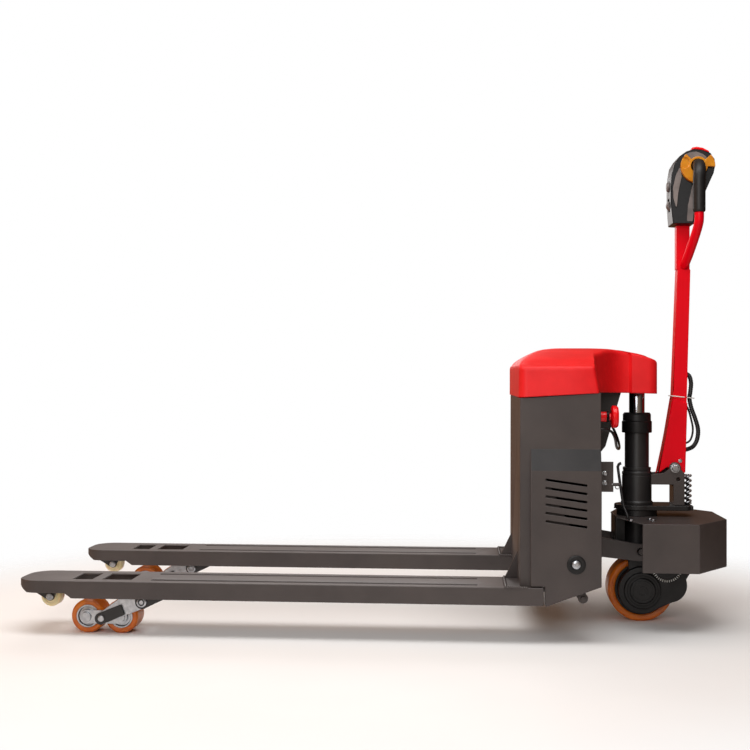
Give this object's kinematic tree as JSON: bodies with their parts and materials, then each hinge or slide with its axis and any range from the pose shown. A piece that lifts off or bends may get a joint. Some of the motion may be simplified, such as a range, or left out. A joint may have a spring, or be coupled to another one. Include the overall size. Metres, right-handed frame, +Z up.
{
  "type": "powered pallet truck",
  "caption": "Powered pallet truck: two forks on tandem rollers, louvred battery chassis under a domed hood, steered drive wheel and upright tiller.",
  "frame": {"origin": "centre of the bounding box's base, on the floor between the wheels", "axes": "+X towards the tiller and the operator, -X towards the fork tips, +Z up; left is -Y, as the operator sees it when facing the forks"},
  "size_m": [1.749, 0.685, 1.223],
  "materials": {
    "chassis_paint": "satin warm grey paint",
    "black_paint": "satin black paint",
    "cast_black": "black painted casting",
    "zinc": "bright zinc plate",
    "chrome": "polished chrome",
    "hood_red": "grained red moulding",
    "red_paint": "gloss red paint",
    "red_button": "glossy red moulding",
    "orange_pu": "cast orange polyurethane",
    "nylon": "turned cream nylon",
    "battery_case": "moulded case",
    "controller_alloy": "finned extrusion",
    "pump_metal": "painted pump",
    "cable_black": "black cable jacket",
    "grip_rubber": "soft black rubber",
    "head_plastic": "black moulding with grey panels",
    "gold_plastic": "yellow moulding",
    "grey_button": "grey moulding"
  },
  "bodies": {
    "chassis": {"chassis_frame": "chassis_paint", "head_beam": "black_paint", "fork_left": "chassis_paint", "fork_right": "chassis_paint", "side_pod_left": "chassis_paint", "side_pod_right": "chassis_paint", "rocker_pivots": "zinc", "nose_brackets": "black_paint", "entry_axles": "zinc", "link_ears": "black_paint", "link_pins": "zinc", "hood": "hood_red", "battery": "battery_case", "motor_controller": "controller_alloy", "pump_unit": "pump_metal", "estop_base": "red_button", "estop_lead": "cable_black", "cable_bracket": "chassis_paint", "piston_rod": "chrome"},
    "estop_button": {"estop_button": "red_button"},
    "entry_roller_left": {"entry_roller_left": "nylon"},
    "entry_roller_right": {"entry_roller_right": "nylon"},
    "link_left": {"link_arm_left": "zinc"},
    "link_right": {"link_arm_right": "zinc"},
    "bogie_left": {"bogie_left": "zinc"},
    "bogie_right": {"bogie_right": "zinc"},
    "push_rod_left": {"push_rod_left": "black_paint"},
    "push_rod_right": {"push_rod_right": "black_paint"},
    "rocker": {"rocker_frame": "chassis_paint"},
    "carriage": {"bearing_seat": "chassis_paint"},
    "drive_unit": {"steering_post": "black_paint", "lift_cylinder": "black_paint", "gland_nut": "cast_black", "tiller_bracket": "chassis_paint", "drive_yoke": "black_paint", "gearbox": "cast_black", "drive_motor": "cast_black", "drive_cover": "chassis_paint", "drive_fasteners": "zinc", "guide_rod": "black_paint", "tiller_spring": "chrome"},
    "drive_wheel": {"wheel_hub": "cast_black", "wheel_tyre": "orange_pu"},
    "tiller": {"tiller_arm": "red_paint", "handle_frame": "red_paint", "hand_grips": "grip_rubber", "head_shell": "head_plastic", "tiller_harness": "cable_black"},
    "throttle": {"throttle": "gold_plastic"},
    "belly_button": {"belly_button": "red_button"},
    "horn_button": {"horn_button": "grey_button"},
    "lift_rocker": {"lift_rocker": "grey_button"},
    "load_roller_left_front": {"load_tyre_left_front": "orange_pu", "load_hub_left_front": "zinc"},
    "load_roller_left_rear": {"load_tyre_left_rear": "orange_pu", "load_hub_left_rear": "zinc"},
    "load_roller_right_front": {"load_tyre_right_front": "orange_pu", "load_hub_right_front": "zinc"},
    "load_roller_right_rear": {"load_tyre_right_rear": "orange_pu", "load_hub_right_rear": "zinc"}
  },
  "joints": [
    {"name": "lift", "type": "slide", "parent": "chassis", "child": "carriage", "axis": [0, 0, -1], "range_m": [-0.049, 0.056]},
    {"name": "steer", "type": "hinge", "parent": "carriage", "child": "drive_unit", "pos_m": [0.6625, 0, 0.23], "axis": [0, 0, 1], "range_deg": [-45, 45]},
    {"name": "drive_wheel_spin", "type": "hinge", "parent": "drive_unit", "child": "drive_wheel", "pos_m": [0.6685, 0, 0.084], "axis": [0, 1, 0], "continuous": true},
    {"name": "tiller_tilt", "type": "hinge", "parent": "drive_unit", "child": "tiller", "pos_m": [0.7555, 0, 0.396], "axis": [0, 1, 0], "range_deg": [0, 75], "stiffness_Nm_per_rad": 30, "springref_deg": -14.32, "deforming": ["tiller_spring"]},
    {"name": "throttle_turn", "type": "hinge", "parent": "tiller", "child": "throttle", "pos_m": [0.8075, 0, 1.17], "axis": [0, 1, 0], "range_deg": [-30, 30], "stiffness_Nm_per_rad": 1.5},
    {"name": "belly_push", "type": "slide", "parent": "tiller", "child": "belly_button", "axis": [-0.342, 0, -0.9397], "range_m": [0, 0.002], "stiffness_N_per_m": 3000, "springref_m": -0.001},
    {"name": "horn_push", "type": "slide", "parent": "tiller", "child": "horn_button", "axis": [1, 0, 0], "range_m": [0, 0.002], "stiffness_N_per_m": 2000, "springref_m": -0.001},
    {"name": "lift_switch", "type": "hinge", "parent": "tiller", "child": "lift_rocker", "pos_m": [0.7515, 0, 1.078], "axis": [0, 1, 0], "range_deg": [-8, 8], "stiffness_Nm_per_rad": 0.5},
    {"name": "estop_push", "type": "slide", "parent": "chassis", "child": "estop_button", "axis": [-1, 0, 0], "range_m": [0, 0.004], "stiffness_N_per_m": 3000, "springref_m": -0.001},
    {"name": "rocker_swing", "type": "hinge", "parent": "chassis", "child": "rocker", "pos_m": [0.4765, 0, 0.189], "axis": [0, 1, 0], "range_deg": [-15, 17]},
    {"name": "push_rod_left_slide", "type": "slide", "parent": "chassis", "child": "push_rod_left", "axis": [-1, 0, 0], "range_m": [-0.018, 0.021]},
    {"name": "link_left_swing", "type": "hinge", "parent": "chassis", "child": "link_left", "pos_m": [-0.5635, -0.2625, 0.083], "axis": [0, -1, 0], "range_deg": [-29, 33]},
    {"name": "bogie_left_swing", "type": "hinge", "parent": "link_left", "child": "bogie_left", "pos_m": [-0.66517, -0.2625, 0.041], "axis": [0, 1, 0], "range_deg": [-29, 33]},
    {"name": "load_roller_left_front_spin", "type": "hinge", "parent": "bogie_left", "child": "load_roller_left_front", "pos_m": [-0.70717, -0.2625, 0.041], "axis": [0, 1, 0], "continuous": true},
    {"name": "load_roller_left_rear_spin", "type": "hinge", "parent": "bogie_left", "child": "load_roller_left_rear", "pos_m": [-0.62317, -0.2625, 0.041], "axis": [0, 1, 0], "continuous": true},
    {"name": "entry_roller_left_spin", "type": "hinge", "parent": "chassis", "child": "entry_roller_left", "pos_m": [-0.8055, -0.2625, 0.086], "axis": [0, 1, 0], "continuous": true},
    {"name": "push_rod_right_slide", "type": "slide", "parent": "chassis", "child": "push_rod_right", "axis": [-1, 0, 0], "range_m": [-0.018, 0.021]},
    {"name": "link_right_swing", "type": "hinge", "parent": "chassis", "child": "link_right", "pos_m": [-0.5635, 0.2625, 0.083], "axis": [0, -1, 0], "range_deg": [-29, 33]},
    {"name": "bogie_right_swing", "type": "hinge", "parent": "link_right", "child": "bogie_right", "pos_m": [-0.66517, 0.2625, 0.041], "axis": [0, 1, 0], "range_deg": [-29, 33]},
    {"name": "load_roller_right_front_spin", "type": "hinge", "parent": "bogie_right", "child": "load_roller_right_front", "pos_m": [-0.70717, 0.2625, 0.041], "axis": [0, 1, 0], "continuous": true},
    {"name": "load_roller_right_rear_spin", "type": "hinge", "parent": "bogie_right", "child": "load_roller_right_rear", "pos_m": [-0.62317, 0.2625, 0.041], "axis": [0, 1, 0], "continuous": true},
    {"name": "entry_roller_right_spin", "type": "hinge", "parent": "chassis", "child": "entry_roller_right", "pos_m": [-0.8055, 0.2625, 0.086], "axis": [0, 1, 0], "continuous": true}
  ],
  "couplings": [
    {"joint": "rocker_swing", "follows": "lift", "rad_per_m": 5.24},
    {"joint": "push_rod_left_slide", "follows": "lift", "ratio": 0.355},
    {"joint": "link_left_swing", "follows": "lift", "rad_per_m": 9.84},
    {"joint": "bogie_left_swing", "follows": "lift", "rad_per_m": 9.84},
    {"joint": "push_rod_right_slide", "follows": "lift", "ratio": 0.355},
    {"joint": "link_right_swing", "follows": "lift", "rad_per_m": 9.84},
    {"joint": "bogie_right_swing", "follows": "lift", "rad_per_m": 9.84}
  ]
}
